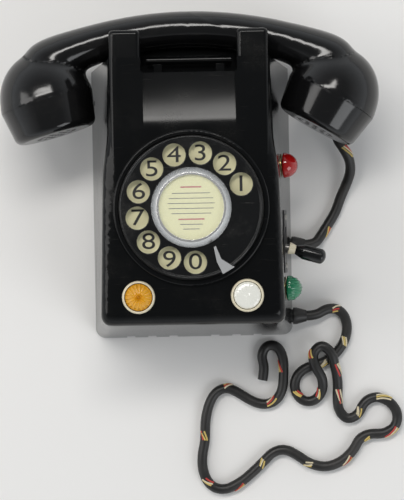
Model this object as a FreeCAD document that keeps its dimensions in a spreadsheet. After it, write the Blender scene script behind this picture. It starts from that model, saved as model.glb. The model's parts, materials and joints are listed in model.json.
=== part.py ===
import FreeCAD, Part
import math
import os
import Sketcher

# A wall telephone with four signal lamps and a line switch, lying on its back.
# X runs along the handset, Y up the wall, Z out of the wall. Millimetres and degrees.
# The origin is on the back plane, under the middle of the object without its cords.

V = FreeCAD.Vector
UP = V(0, 0, 1)
ALONG_X = V(1, 0, 0)
ALONG_Y = V(0, 1, 0)

doc = FreeCAD.newDocument("wall_telephone")
sheet = doc.addObject("Spreadsheet::Sheet", "sizes")

SIZES = {
    # moulded case
    "case_depth": 88.0,
    "case_wall": 3.0,
    "case_low": 94.7,
    "case_high": 64.8,
    "back_half": 59.0,
    "front_half_low": 49.0,
    "front_half_high": 44.5,
    "foot_draft": 10.7,
    "low_round": 8.0,
    "side_round": 6.0,
    "edge_round": 2.5,
    "fit_gap": 0.3,
    # cradle
    "horn_width": 17.5,
    "horn_high": 80.5,
    "horn_root": 22.0,
    "horn_thick": 17.0,
    "cradle_back": 35.0,
    "trough_floor": 57.0,
    "scoop_depth": 10.0,
    "scoop_low": 26.0,
    # back plate
    "plate_thick": 2.0,
    "plate_lift": 1.5,
    "screw_span_x": 70.0,
    "screw_span_y": 110.0,
    "wall_hole_radius": 2.6,
    "cable_hole_radius": 9.0,
    "cable_hole_y": 76.0,
    "screw_mid_y": 19.3,
    "case_screw_radius": 1.9,
    "case_screw_head": 3.4,
    "case_screw_x": 42.0,
    "case_screw_low": 80.0,
    "case_screw_high": 45.0,
    "boss_radius": 5.0,
    "boss_height": 14.0,
    # dial
    "dial_y": 19.3,
    "bezel_radius": 43.5,
    "bezel_rise": 3.5,
    "bezel_width": 2.6,
    "well_radius": 36.0,
    "well_depth": 18.0,
    "plate_radius": 38.5,
    "number_thick": 1.2,
    "wheel_radius": 39.5,
    "wheel_thick": 2.2,
    "wheel_lift": 3.2,
    "wheel_lip": 1.2,
    "hole_ring": 30.5,
    "hole_radius": 6.4,
    "hole_count": 10.0,
    "hole_first": 24.0,
    "hole_step": 27.7,
    "card_ring_radius": 22.3,
    "card_radius": 18.4,
    "card_rise": 4.0,
    "shaft_radius": 3.0,
    "gear_radius": 22.0,
    "gear_thick": 2.0,
    "stop_angle": 60.0,
    "stop_width": 13.0,
    "stop_thick": 1.6,
    # signal lamps
    "lamp_x": 30.3,
    "lamp_y": 68.7,
    "lamp_ring_radius": 9.2,
    "lens_radius": 7.8,
    "lens_rise": 4.5,
    "lamp_ring_rise": 2.2,
    "socket_radius": 6.6,
    "socket_length": 20.0,
    "bulb_radius": 3.4,
    "jewel_radius": 7.4,
    "jewel_rise": 9.6,
    "jewel_flange": 1.6,
    "jewel_gap": 0.15,
    "side_lamp_z": 45.0,
    "red_y": 5.0,
    "green_y": 66.0,
    # line switch
    "lever_y": 38.0,
    "lever_z": 48.0,
    "pivot_depth": 14.0,
    "lever_tilt": 16.0,
    "shank_radius": 1.8,
    "collar_radius": 3.6,
    "collar_length": 4.0,
    "knob_radius": 4.3,
    "knob_length": 18.0,
    "slot_height": 15.0,
    "slot_width": 6.0,
    "escutcheon_height": 36.0,
    "escutcheon_width": 14.0,
    "escutcheon_thick": 0.9,
    # hook switch
    "bar_radius": 2.4,
    "bar_half": 24.5,
    "bar_y": 66.4,
    "bar_z": 50.0,
    "bar_travel": 5.0,
    "arm_x": 18.0,
    "arm_width": 5.0,
    "arm_thick": 2.0,
    "arm_low": 30.0,
    # handset
    "ear_seam_x": 82.0,
    "mouth_seam_x": 81.42,
    "cap_radius": 27.0,
    "cap_thick": 19.5,
    "cap_taper": 3.5,
    "cap_wall": 2.5,
    "dome_height": 30.0,
    "ear_tilt": 15.5,
    "mouth_tilt": 30.0,
    "ear_seam_y": 43.6,
    "mouth_seam_y": 43.4,
    "handset_z": 50.0,
    "grip_high": 94.7,
    "grip_half_high": 10.5,
    "grip_half_deep": 13.5,
    "grip_bend": 205.0,
    "cup_bore": 22.0,
    "cup_bore_depth": 12.0,
    "capsule_radius": 21.0,
    "capsule_thick": 14.0,
    "sound_hole_radius": 1.5,
    # cords
    "cord_radius": 3.0,
    "gland_radius": 5.0,
    "gland_length": 8.0,
    "gland_off_wall": 0.85,
    "handset_gland_y": 41.0,
    "line_gland_y": 83.4,
    "gland_z": 6.0,
    "bush_radius": 4.6,
    "bush_length": 14.0,
    # works inside the case
    "gong_radius": 21.0,
    "gong_height": 10.0,
    "gong_wall": 1.4,
    "gong_x": 24.5,
    "gong_y": 31.0,
    "gong_base": 22.0,
    "post_radius": 3.0,
    "coil_radius": 8.0,
    "coil_length": 30.0,
    "clapper_swing": 3.0,
}

for row, (name, value) in enumerate(SIZES.items(), start=1):
    sheet.set(f"A{row}", name)
    sheet.set(f"B{row}", str(value))
    sheet.setAlias(f"B{row}", name)
doc.recompute()


def size(name):
    return float(sheet.get(name))


NODES = []


def node(obj, name):
    obj.Label = name
    NODES.append(obj)
    return obj


def bind(obj, **expressions):
    for prop, expression in expressions.items():
        obj.setExpression(prop.replace("__", "."), expression)
    return obj


def put(obj, x="0", y="0", z="0", turn_axis=None, turn="0"):
    """Binds an object's place, and its turn about one axis, to the sheet."""
    if turn_axis is not None:
        obj.Placement = FreeCAD.Placement(V(), FreeCAD.Rotation(turn_axis, 1))
        obj.setExpression("Placement.Rotation.Angle", turn)
    bind(obj, Placement__Base__x=x, Placement__Base__y=y, Placement__Base__z=z)
    return obj


def cylinder(name, radius, height, **where):
    obj = bind(doc.addObject("Part::Cylinder", name), Radius=radius, Height=height)
    return put(obj, **where)


def cone(name, low, high, height, **where):
    obj = bind(doc.addObject("Part::Cone", name), Radius1=low, Radius2=high, Height=height)
    return put(obj, **where)


def box(name, length, width, height, **where):
    obj = bind(doc.addObject("Part::Box", name), Length=length, Width=width, Height=height)
    return put(obj, **where)


def dome(name, radius, rise, **where):
    """Half an ellipsoid on its flat face."""
    obj = doc.addObject("Part::Ellipsoid", name)
    obj.Angle1 = 0
    bind(obj, Radius1=rise, Radius2=radius, Radius3=radius)
    return put(obj, **where)


def cut(name, base, *tools):
    for number, tool in enumerate(tools):
        obj = doc.addObject("Part::Cut", f"{name}_cut_{number}")
        obj.Base = base
        obj.Tool = tool
        base = obj
    return base


def fuse(name, *parts):
    obj = doc.addObject("Part::MultiFuse", f"{name}_joined")
    obj.Shapes = list(parts)
    obj.Refine = True
    return obj


def group(name, *parts):
    obj = doc.addObject("Part::Compound", f"{name}_set")
    obj.Links = list(parts)
    return obj


def turned(name, profile, **where):
    """A body turned about its own Z from (radius, height) corners, each an expression."""
    body = doc.addObject("PartDesign::Body", name)
    sketch = body.newObject("Sketcher::SketchObject", name + "_profile")
    plane = [f for f in body.Origin.OriginFeatures if f.Role == "XZ_Plane"][0]
    sketch.AttachmentSupport = [(plane, "")]
    sketch.MapMode = "FlatFace"
    polygon(sketch, profile)
    turn = body.newObject("PartDesign::Revolution", name + "_turned")
    turn.Profile = sketch
    turn.ReferenceAxis = (sketch, ["V_Axis"])
    turn.Angle = 360
    return put(body, **where)


def padded(name, outline, thickness, holes=(), **where):
    """A flat plate padded from its outline, with round holes at (x, y, radius)."""
    body = doc.addObject("PartDesign::Body", name)
    sketch = body.newObject("Sketcher::SketchObject", name + "_outline")
    plane = [f for f in body.Origin.OriginFeatures if f.Role == "XY_Plane"][0]
    sketch.AttachmentSupport = [(plane, "")]
    sketch.MapMode = "FlatFace"
    polygon(sketch, outline)
    for x, y, radius in holes:
        circle(sketch, x, y, radius)
    pad = body.newObject("PartDesign::Pad", name + "_pad")
    pad.Profile = sketch
    pad.setExpression("Length", thickness)
    return put(body, **where)


def polygon(sketch, corners):
    """Closed straight outline through corners whose coordinates are expressions."""
    count = len(corners)
    start = [V(20 * math.cos(math.tau * i / count), 20 * math.sin(math.tau * i / count), 0)
             for i in range(count)]
    first = sketch.GeometryCount
    for i in range(count):
        sketch.addGeometry(Part.LineSegment(start[i], start[(i + 1) % count]))
    for i in range(count):
        after = first + (i + 1) % count
        sketch.addConstraint(Sketcher.Constraint("Coincident", first + i, 2, after, 1))
    for i, corner in enumerate(corners):
        pin(sketch, first + i, 1, corner, start[i])


def circle(sketch, x, y, radius):
    index = sketch.addGeometry(Part.Circle(V(1, 1, 0), UP, 1))
    pin(sketch, index, 3, (x, y), V(1, 1, 0))
    row = sketch.addConstraint(Sketcher.Constraint("Radius", index, 1.0))
    sketch.setExpression(f"Constraints[{row}]", radius)


def pin(sketch, index, point, target, start):
    """Holds one point of a sketch at a place given by two expressions."""
    for kind, expression, value in (("DistanceX", target[0], start.x), ("DistanceY", target[1], start.y)):
        row = sketch.addConstraint(Sketcher.Constraint(kind, -1, 1, index, point, value))
        sketch.setExpression(f"Constraints[{row}]", expression)


def solid(name, shape):
    """A shape worked out in code, for forms that no single feature makes."""
    obj = doc.addObject("Part::Feature", name)
    obj.Shape = shape
    return obj


def middle(edge):
    return edge.valueAt((edge.FirstParameter + edge.LastParameter) / 2)


# Case: a drafted box with a big round along its low front edge, hollow from behind.
def drafted_form(inset):
    """The case's outer form, or with an inset of one wall the hollow inside it."""
    deep = size("case_depth") - inset
    low = size("case_low") - inset
    high = (size("case_high") if inset == 0 else size("trough_floor")) - inset
    back = size("back_half") - inset
    front_low = size("front_half_low") - inset
    front_high = size("front_half_high") - inset
    foot = low - size("foot_draft")
    behind = Part.makePolygon([V(-back, -low, 0), V(back, -low, 0), V(back, high, 0),
                               V(-back, high, 0), V(-back, -low, 0)])
    ahead = Part.makePolygon([V(-front_low, -foot, deep), V(front_low, -foot, deep),
                              V(front_high, high, deep), V(-front_high, high, deep),
                              V(-front_low, -foot, deep)])
    form = Part.makeLoft([behind, ahead], True, True)
    front_edge = [e for e in form.Edges if middle(e).z > deep - 1 and middle(e).y < 1 - foot]
    form = form.makeFillet(size("low_round") - inset, front_edge)
    sides = [e for e in form.Edges
             if abs(middle(e).x) > front_high - 5 and 1 < middle(e).z and middle(e).y < high - 1]
    return form.makeFillet(size("side_round") - inset, sides)


def prism_yz(corners, half_width, offset=0.0):
    """A side outline in Y and Z, pushed out along X both ways."""
    face = Part.Face(Part.makePolygon([V(offset - half_width, y, z) for y, z in corners + corners[:1]]))
    return face.extrude(V(2 * half_width, 0, 0))


def horn_form(side):
    """One front horn: it rises out of the case's front and stands before the grip."""
    deep = size("case_depth")
    top = size("horn_high")
    inner = size("front_half_high") - size("horn_width")
    centre = side * (inner + size("horn_width") / 2)
    back = deep - size("horn_thick")
    outline = [(size("horn_root") - 12, back), (top, back + 3), (top, deep - 1.0),
               (size("case_high") - 6, deep - 0.1), (size("horn_root") - 12, deep - 0.05)]
    horn = prism_yz(outline, size("horn_width") / 2, centre)
    soft = [e for e in horn.Edges if middle(e).y > top - 1 or middle(e).z > deep - 4]
    soft = [e for e in soft if middle(e).y > size("scoop_low") + 1]
    return horn.makeFillet(size("edge_round"), soft)


def scoop_form():
    """What is hollowed out between the horns: the front falls back towards the trough."""
    deep = size("case_depth")
    inner = size("front_half_high") - size("horn_width") - 1.2
    low = size("scoop_low")
    high = size("trough_floor") + 30
    start = V(0, low, deep)
    bend = V(0, (low + size("trough_floor")) / 2, deep - size("scoop_depth") * 0.36)
    end = V(0, high, deep - size("scoop_depth") * 1.9)
    curve = Part.Arc(start, bend, end).toShape()
    outline = Part.Wire([curve, Part.makeLine(end, V(0, high, deep + 9)),
                         Part.makeLine(V(0, high, deep + 9), V(0, low, deep + 9)),
                         Part.makeLine(V(0, low, deep + 9), start)])
    face = Part.Face(outline)
    face.translate(V(-inner, 0, 0))
    return face.extrude(V(2 * inner, 0, 0))


def side_wall_x(y, z):
    """Where the case's right wall is, at a height up the wall and a depth off it."""
    front_foot = size("case_low") - size("foot_draft")
    share = (y + front_foot) / (front_foot + size("case_high"))
    front = size("front_half_low") + (size("front_half_high") - size("front_half_low")) * share
    return size("back_half") - (size("back_half") - front) * z / size("case_depth")


def make_case():
    deep = size("case_depth")
    wall = size("case_wall")
    trough = size("trough_floor")
    cradle_back = size("cradle_back")
    back_half = size("back_half")
    outer = drafted_form(0)
    inner_x = size("front_half_high") - size("horn_width")
    handle_gap = Part.makeBox(4 * back_half, 60, deep, V(-2 * back_half, size("case_high") - 0.01, cradle_back))
    trough_gap = Part.makeBox(2 * inner_x, 60, deep, V(-inner_x, trough, cradle_back + 3))
    rear_wall = Part.makeBox(2 * back_half - 22, size("horn_high") - trough, cradle_back,
                             V(11 - back_half, trough, 0))
    rear_top = [e for e in rear_wall.Edges if abs(middle(e).y - size("horn_high")) < 0.1
                and middle(e).z > cradle_back - 1 or abs(middle(e).x) > back_half - 12 and middle(e).z > 1]
    rear_wall = rear_wall.makeFillet(size("edge_round"), rear_top)
    case = outer.fuse([rear_wall, horn_form(1), horn_form(-1)])
    keep_horns = prism_yz([(trough, deep - size("horn_thick")), (trough + 60, deep - size("horn_thick")),
                           (trough + 60, deep + 9), (trough, deep + 9)], 2 * back_half)
    case = case.cut(handle_gap.cut(keep_horns)).cut(trough_gap).cut(scoop_form())
    thick_front = Part.makeBox(2 * inner_x + 3, 40, 20, V(-inner_x - 1.5, size("scoop_low"), deep - 17))
    case = case.cut(drafted_form(wall).cut(thick_front))
    dial = V(0, -size("dial_y"), 0)
    ring = Part.makeCylinder(size("bezel_radius"), size("bezel_rise") + wall, dial + V(0, 0, deep - wall))
    rim = [e for e in ring.Edges if middle(e).z > deep + 1]
    ring = ring.makeFillet(1.2, rim)
    case = case.fuse(ring)
    seat = Part.makeCylinder(size("bezel_radius") - size("bezel_width"), size("bezel_rise") + 1, dial + V(0, 0, deep))
    well = Part.makeCylinder(size("well_radius") + size("fit_gap"), 30, dial + V(0, 0, deep - 25))
    case = case.cut([seat, well])
    bosses = []
    for x, y in case_screw_places():
        bosses.append(Part.makeCylinder(size("boss_radius"), size("boss_height"), V(x, y, plate_top())))
        length = abs(x) / x * (side_wall_x(y, 8) - abs(x) - 1)
        web = Part.makeBox(abs(length), 3, size("boss_height") - 2,
                           V(min(x, x + length), y - 1.5, plate_top()))
        bosses.append(web)
    case = case.fuse(bosses)
    drills = [Part.makeCylinder(size("case_screw_radius") - 0.1, 11, V(x, y, 0)) for x, y in case_screw_places()]
    for side in (-1, 1):
        drills.append(Part.makeCylinder(size("socket_radius") + size("fit_gap"), 12,
                                        V(side * size("lamp_x"), -size("lamp_y"), deep - 8)))
        drills.append(arm_slot(side))
    slant = math.radians(90) - math.atan((size("back_half") - side_front_half()) / deep)
    outward = V(math.sin(slant), 0, math.cos(slant))
    for y in (size("red_y"), -size("green_y")):
        start = V(side_wall_x(y, size("side_lamp_z")), y, size("side_lamp_z")) - outward * 8
        drills.append(Part.makeCylinder(size("socket_radius") + size("fit_gap"), 16, start, outward))
    slot_x = side_wall_x(-size("lever_y"), size("lever_z"))
    drills.append(Part.makeBox(14, size("slot_height"), size("slot_width"),
                               V(slot_x - 7, -size("lever_y") - size("slot_height") / 2,
                                 size("lever_z") - size("slot_width") / 2)))
    for y in (-size("handset_gland_y"), -size("line_gland_y")):
        drills.append(Part.makeCylinder(size("gland_radius") - 1, 14,
                                        V(side_wall_x(y, size("gland_z")) - 9, y, size("gland_z")), ALONG_X))
    for side in (-1, 1):
        for step in range(3):
            x = side * (12.5 + 12.7 * step) - 2.5
            drills.append(Part.makeBox(5, 12, 10.5, V(x, -size("case_low") - 4, -1)))
    return case.cut(drills).removeSplitter()


def plate_top():
    return size("plate_lift") + size("plate_thick")


def side_front_half():
    return (size("front_half_low") + size("front_half_high")) / 2


def case_screw_places():
    x = size("case_screw_x")
    return [(-x, -size("case_screw_low")), (x, -size("case_screw_low") + 12),
            (-x, size("case_screw_high")), (x, size("case_screw_high"))]


def arm_slot(side):
    gap = size("fit_gap")
    return Part.makeBox(size("arm_width") + 2 * gap, 12, size("arm_thick") + 2 * gap,
                        V(side * size("arm_x") - size("arm_width") / 2 - gap, size("trough_floor") - 8,
                          size("bar_z") - size("arm_thick") / 2 - gap))


node(solid("case_form", make_case()), "case_shell")

# Back plate: a steel cover let into the case, with wall-screw holes and a hole for the cable.
PLATE_EDGE = "sizes.back_half - sizes.case_wall - 2 * sizes.fit_gap"
PLATE_LOW = "-(sizes.case_low - sizes.case_wall - 2 * sizes.fit_gap)"
PLATE_HIGH = "sizes.trough_floor - sizes.case_wall - 2 * sizes.fit_gap"
PLATE_TOP = "sizes.plate_lift + sizes.plate_thick"
CORNER = "sizes.side_round"
CASE_SCREWS = [("-sizes.case_screw_x", "-sizes.case_screw_low"), ("sizes.case_screw_x", "12 - sizes.case_screw_low"),
               ("-sizes.case_screw_x", "sizes.case_screw_high"), ("sizes.case_screw_x", "sizes.case_screw_high")]
WALL_SCREWS = [(f"{sx} * sizes.screw_span_x / 2", f"{sy} * sizes.screw_span_y / 2 - sizes.screw_mid_y")
               for sx in (-1, 1) for sy in (-1, 1)]
plate_holes = [(x, y, "sizes.wall_hole_radius") for x, y in WALL_SCREWS]
plate_holes += [(x, y, "sizes.case_screw_radius + 0.2") for x, y in CASE_SCREWS]
plate_holes.append(("0", "-sizes.cable_hole_y", "sizes.cable_hole_radius"))
node(padded("back_plate", [
    (f"-({PLATE_EDGE})", f"{PLATE_LOW} + {CORNER}"), (f"-({PLATE_EDGE}) + {CORNER}", PLATE_LOW),
    (f"{PLATE_EDGE} - {CORNER}", PLATE_LOW), (PLATE_EDGE, f"{PLATE_LOW} + {CORNER}"),
    (PLATE_EDGE, PLATE_HIGH), (f"-({PLATE_EDGE})", PLATE_HIGH)],
    "sizes.plate_thick", plate_holes, z="sizes.plate_lift"), "base_plate")

screws = []
for number, (x, y) in enumerate(CASE_SCREWS):
    shank = cylinder(f"case_screw_shank_{number}", "sizes.case_screw_radius - 0.15", "9", x=x, y=y, z="1")
    head = cylinder(f"case_screw_head_{number}", "sizes.case_screw_head", "1.2", x=x, y=y, z="sizes.plate_lift - 1.2")
    screws.append(fuse(f"case_screw_{number}", shank, head))
node(group("case_screws", *screws), "case_screws")

# Dial: a cup let into the case, the number plate, and what turns on the shaft.
FRONT = "sizes.case_depth"
CUP_BASE = f"{FRONT} - sizes.well_depth"
FLANGE = "sizes.bezel_radius - sizes.bezel_width - sizes.fit_gap"
NUMBERS = f"{FRONT} + 1.2"
WHEEL = f"{NUMBERS} + sizes.number_thick + sizes.wheel_lift"
WHEEL_TOP = f"{WHEEL} + sizes.wheel_thick"
HUB_TOP = f"{WHEEL_TOP} + 1.4"
DIAL_Y = "-sizes.dial_y"
node(turned("dial_cup_form", [
    ("sizes.shaft_radius + 0.05", "0"), ("sizes.well_radius", "0"), ("sizes.well_radius", "sizes.well_depth"),
    (FLANGE, "sizes.well_depth"), (FLANGE, "sizes.well_depth + 1.2"),
    ("sizes.well_radius - 2", "sizes.well_depth + 1.2"), ("sizes.well_radius - 2", "2"),
    ("sizes.shaft_radius + 0.05", "2")], y=DIAL_Y, z=CUP_BASE), "dial_cup")
node(turned("number_plate_form", [
    ("sizes.shaft_radius + 1", "0"), ("sizes.plate_radius", "0"), ("sizes.plate_radius", "sizes.number_thick"),
    ("sizes.shaft_radius + 1", "sizes.number_thick")], y=DIAL_Y, z=NUMBERS), "number_plate")

wheel_disc = doc.addObject("PartDesign::Body", "wheel_disc")
wheel_sketch = wheel_disc.newObject("Sketcher::SketchObject", "wheel_sketch")
wheel_sketch.AttachmentSupport = [([f for f in wheel_disc.Origin.OriginFeatures if f.Role == "XY_Plane"][0], "")]
wheel_sketch.MapMode = "FlatFace"
circle(wheel_sketch, "0", "0", "sizes.wheel_radius")
for number in range(int(size("hole_count"))):
    angle = f"sizes.hole_first + {number} * sizes.hole_step"
    circle(wheel_sketch, f"sizes.hole_ring * cos({angle})", f"sizes.hole_ring * sin({angle})", "sizes.hole_radius")
wheel_pad = wheel_disc.newObject("PartDesign::Pad", "wheel_pad")
wheel_pad.Profile = wheel_sketch
wheel_pad.setExpression("Length", "sizes.wheel_thick")
put(wheel_disc, y=DIAL_Y, z=WHEEL)
wheel_rim = turned("wheel_rim", [
    ("sizes.wheel_radius - 1.6", "0"), ("sizes.wheel_radius", "0"),
    ("sizes.wheel_radius", "sizes.wheel_thick + sizes.wheel_lip"),
    ("sizes.wheel_radius - 0.9", "sizes.wheel_thick + sizes.wheel_lip")], y=DIAL_Y, z=WHEEL)
wheel_hub = cylinder("wheel_hub", "sizes.card_radius - 0.6", "1.6", y=DIAL_Y, z=f"{WHEEL_TOP} - 0.2")
node(fuse("finger_wheel", wheel_disc, wheel_rim, wheel_hub), "finger_wheel")
node(turned("card_ring_form", [
    ("sizes.card_radius + 0.05", "0"), ("sizes.card_ring_radius", "0"), ("sizes.card_ring_radius", "0.8"),
    ("sizes.card_radius + 0.9", "sizes.card_rise"), ("sizes.card_radius - 0.4", "sizes.card_rise"),
    ("sizes.card_radius - 0.4", "sizes.card_rise - 0.8"), ("sizes.card_radius + 0.05", "sizes.card_rise - 0.8")],
    y=DIAL_Y, z=WHEEL_TOP), "card_ring")
node(cylinder("dial_card_disc", "sizes.card_radius", "0.6", y=DIAL_Y, z=HUB_TOP), "dial_card")
node(cylinder("card_window_disc", "sizes.card_radius", "sizes.card_rise - 2.8", y=DIAL_Y, z=f"{HUB_TOP} + 0.6"),
     "card_window")
node(cylinder("dial_shaft_rod", "sizes.shaft_radius", f"{WHEEL} - ({CUP_BASE}) + 6", y=DIAL_Y, z=f"{CUP_BASE} - 6"),
     "dial_shaft")
node(turned("dial_gear_form", [
    ("sizes.shaft_radius", "0"), ("sizes.gear_radius", "0"), ("sizes.gear_radius", "sizes.gear_thick"),
    ("sizes.shaft_radius + 4", "sizes.gear_thick"), ("sizes.shaft_radius + 4", "sizes.gear_thick + 3"),
    ("sizes.shaft_radius", "sizes.gear_thick + 3")], y=DIAL_Y, z=f"{CUP_BASE} + 4"), "dial_gear")
node(turned("shaft_bush_form", [
    ("sizes.shaft_radius + 0.05", "-8"), ("sizes.shaft_radius + 4", "-8"), ("sizes.shaft_radius + 4", "0"),
    ("sizes.shaft_radius + 0.05", "0")], y=DIAL_Y, z=CUP_BASE), "shaft_bush")
node(cylinder("governor_can", "9", "14", x="14", y=f"{DIAL_Y} - 14", z=f"{CUP_BASE} - 14"), "governor_can")


def finger_stop():
    """A claw fixed outside the wheel, reaching in over it to a point."""
    outer = size("bezel_radius") - size("bezel_width") - size("fit_gap")
    tip = size("card_ring_radius") + 3
    middle_reach = (outer + tip) / 2
    claw = [V(tip, -0.7, 0), V(middle_reach, -3.4, 0), V(outer, -4.0, 0), V(outer, 3.4, 0),
            V(middle_reach, -0.5, 0), V(tip, 0.6, 0), V(tip, -0.7, 0)]
    blade = Part.Face(Part.makePolygon(claw)).extrude(V(0, 0, size("stop_thick")))
    rise = size("number_thick") + size("wheel_lift") + size("wheel_thick") + size("wheel_lip") + 0.5
    foot = Part.makeBox(0.8, 7.4, rise + 0.2, V(outer - 0.8, -4.0, -rise))
    stop = blade.fuse(foot).removeSplitter()
    stop.rotate(V(), UP, -size("stop_angle"))
    stop.translate(V(0, -size("dial_y"), size("case_depth") + 1.2 + rise))
    return stop


node(solid("finger_stop_form", finger_stop()), "finger_stop")

# Signal lamps: two in the front, two on the right side wall.
FOOT = "(sizes.case_low - sizes.foot_draft)"


def wall_x(y, z):
    """Expression for the right wall's X at a height and a depth that are expressions too."""
    front = (f"(sizes.front_half_low + (sizes.front_half_high - sizes.front_half_low)"
             f" * (({y}) + {FOOT}) / ({FOOT} + sizes.case_high))")
    return f"(sizes.back_half - (sizes.back_half - {front}) * ({z}) / sizes.case_depth)"


for name, sign in (("amber", "-"), ("white", "")):
    spot = {"x": f"{sign}sizes.lamp_x", "y": "-sizes.lamp_y"}
    node(turned(f"{name}_ring_form", [
        ("sizes.lens_radius + 0.1", "0"), ("sizes.lamp_ring_radius", "0"), ("sizes.lamp_ring_radius", "1.2"),
        ("sizes.lamp_ring_radius - 0.7", "sizes.lamp_ring_rise"), ("sizes.lens_radius + 0.1", "sizes.lamp_ring_rise")],
        z=FRONT, **spot), f"{name}_lamp_ring")
    rise = "sizes.lens_rise - 1.2" if name == "amber" else "sizes.lens_rise * 0.4"
    lens_low = cylinder(f"{name}_lens_low", "sizes.lens_radius", "1.2", z=FRONT, **spot)
    lens_top = dome(f"{name}_lens_top", "sizes.lens_radius", rise, z=f"{FRONT} + 1.2", **spot)
    node(fuse(f"{name}_lens", lens_low, lens_top), f"{name}_lens")
    holder = cylinder(f"{name}_holder", "sizes.socket_radius", "sizes.socket_length", z=f"{FRONT} - sizes.socket_length", **spot)
    bore = cylinder(f"{name}_bore", "sizes.bulb_radius + 0.05", "sizes.socket_length", z=f"{FRONT} - sizes.socket_length + 4", **spot)
    node(cut(f"{name}_socket", holder, bore), f"{name}_socket")
    node(cylinder(f"{name}_bulb_glass", "sizes.bulb_radius", "sizes.socket_length - 5",
                  z=f"{FRONT} - sizes.socket_length + 4", **spot), f"{name}_bulb")

DRAFT = "atan((sizes.back_half - (sizes.front_half_low + sizes.front_half_high) / 2) / sizes.case_depth)"
LEAN = f"90 deg - {DRAFT}"


def off_wall(y, z, out):
    """Where a piece starts that stands square off the right wall."""
    return {"x": f"{wall_x(y, z)} + ({out}) * cos({DRAFT})", "y": y, "z": f"({z}) + ({out}) * sin({DRAFT})",
            "turn_axis": ALONG_Y, "turn": LEAN}


for name, y in (("red", "sizes.red_y"), ("green", "-sizes.green_y")):
    start = off_wall(y, "sizes.side_lamp_z", "sizes.jewel_gap")
    jewel_low = cylinder(f"{name}_jewel_low", "sizes.jewel_radius", "sizes.jewel_flange", **start)
    jewel_top = dome(f"{name}_jewel_top", "sizes.jewel_radius", "sizes.jewel_rise - sizes.jewel_flange",
                     **off_wall(y, "sizes.side_lamp_z", "sizes.jewel_gap + sizes.jewel_flange"))
    node(fuse(f"{name}_jewel", jewel_low, jewel_top), f"{name}_jewel")
    inner = off_wall(y, "sizes.side_lamp_z", "sizes.jewel_gap - sizes.socket_length")
    deeper = off_wall(y, "sizes.side_lamp_z", "sizes.jewel_gap - sizes.socket_length + 4")
    holder = cylinder(f"{name}_holder", "sizes.socket_radius", "sizes.socket_length", **inner)
    bore = cylinder(f"{name}_bore", "sizes.bulb_radius + 0.05", "sizes.socket_length", **deeper)
    node(cut(f"{name}_socket", holder, bore), f"{name}_socket")
    node(cylinder(f"{name}_bulb_glass", "sizes.bulb_radius", "sizes.socket_length - 5", **deeper), f"{name}_bulb")

# Line switch: a lever that throws up or down between two lamps, on a pin in its frame.
LEVER_Y = "-sizes.lever_y"
PIVOT_X = f"{wall_x(LEVER_Y, 'sizes.lever_z')} - sizes.pivot_depth"
lean = math.radians(size("lever_tilt"))
LEVER_AXIS = V(math.sin(lean), math.cos(lean), 0)


def on_lever(out):
    """A place along the lever, counted from its pivot."""
    return {"x": f"{PIVOT_X} + ({out}) * cos(sizes.lever_tilt)", "y": f"{LEVER_Y} - ({out}) * sin(sizes.lever_tilt)",
            "z": "sizes.lever_z", "turn_axis": LEVER_AXIS, "turn": "90"}


COLLAR_START = "sizes.pivot_depth + 3.4"
KNOB_START = f"{COLLAR_START} + sizes.collar_length"
shank = cylinder("lever_rod", "sizes.shank_radius", f"{KNOB_START} - 2", **on_lever("2"))
hub = cylinder("lever_hub", "4", "12", x=PIVOT_X, y=LEVER_Y, z="sizes.lever_z - 6")
hub_bore = cylinder("lever_hub_bore", "1.55", "14", x=PIVOT_X, y=LEVER_Y, z="sizes.lever_z - 7")
node(cut("lever_shank", fuse("lever_shank", shank, hub), hub_bore), "lever_shank")
collar = cone("lever_collar_cone", "sizes.collar_radius", "sizes.collar_radius - 1", "sizes.collar_length",
              **on_lever(COLLAR_START))
collar_bore = cylinder("lever_collar_bore", "sizes.shank_radius", "sizes.collar_length + 2",
                       **on_lever(f"{COLLAR_START} - 1"))
node(cut("lever_collar", collar, collar_bore), "lever_collar")
neck = cone("knob_neck", "sizes.knob_radius - 1.9", "sizes.knob_radius", "5", **on_lever(KNOB_START))
grip = cylinder("knob_grip", "sizes.knob_radius", "sizes.knob_length - 8", **on_lever(f"{KNOB_START} + 5"))
tip = dome("knob_tip", "sizes.knob_radius", "3", **on_lever(f"{KNOB_START} + sizes.knob_length - 3"))
node(fuse("lever_knob", neck, grip, tip), "lever_knob")

frame_outer = box("key_frame_outer", "18.2", "20", "18", x=f"{PIVOT_X} - 9", y=f"{LEVER_Y} - 10", z="sizes.lever_z - 9")
frame_inner = box("key_frame_inner", "24", "22", "13", x=f"{PIVOT_X} - 7.5", y=f"{LEVER_Y} - 11", z="sizes.lever_z - 6.5")
node(cut("key_frame", frame_outer, frame_inner), "key_frame")
node(cylinder("key_pin_rod", "1.5", "13", x=PIVOT_X, y=LEVER_Y, z="sizes.lever_z - 6.5"), "key_pin")
leaves = [box(f"key_leaf_{i}", "22", "12", "0.5", x=f"{PIVOT_X} - 31", y=f"{LEVER_Y} - 6", z=f"sizes.lever_z - 6 + {2.6 * i}")
          for i in range(5)]
stack = [box(f"key_stack_{i}", "8", "12", "2.1", x=f"{PIVOT_X} - 17", y=f"{LEVER_Y} - 6", z=f"sizes.lever_z - 5.5 + {2.6 * i}")
         for i in range(4)]
node(fuse("key_springs", *leaves, *stack), "key_springs")
node(box("key_clamp", "8", "3", "11.4", x=f"{PIVOT_X} - 17", y=f"{LEVER_Y} + 6", z="sizes.lever_z - 6"), "key_clamp")

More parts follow.
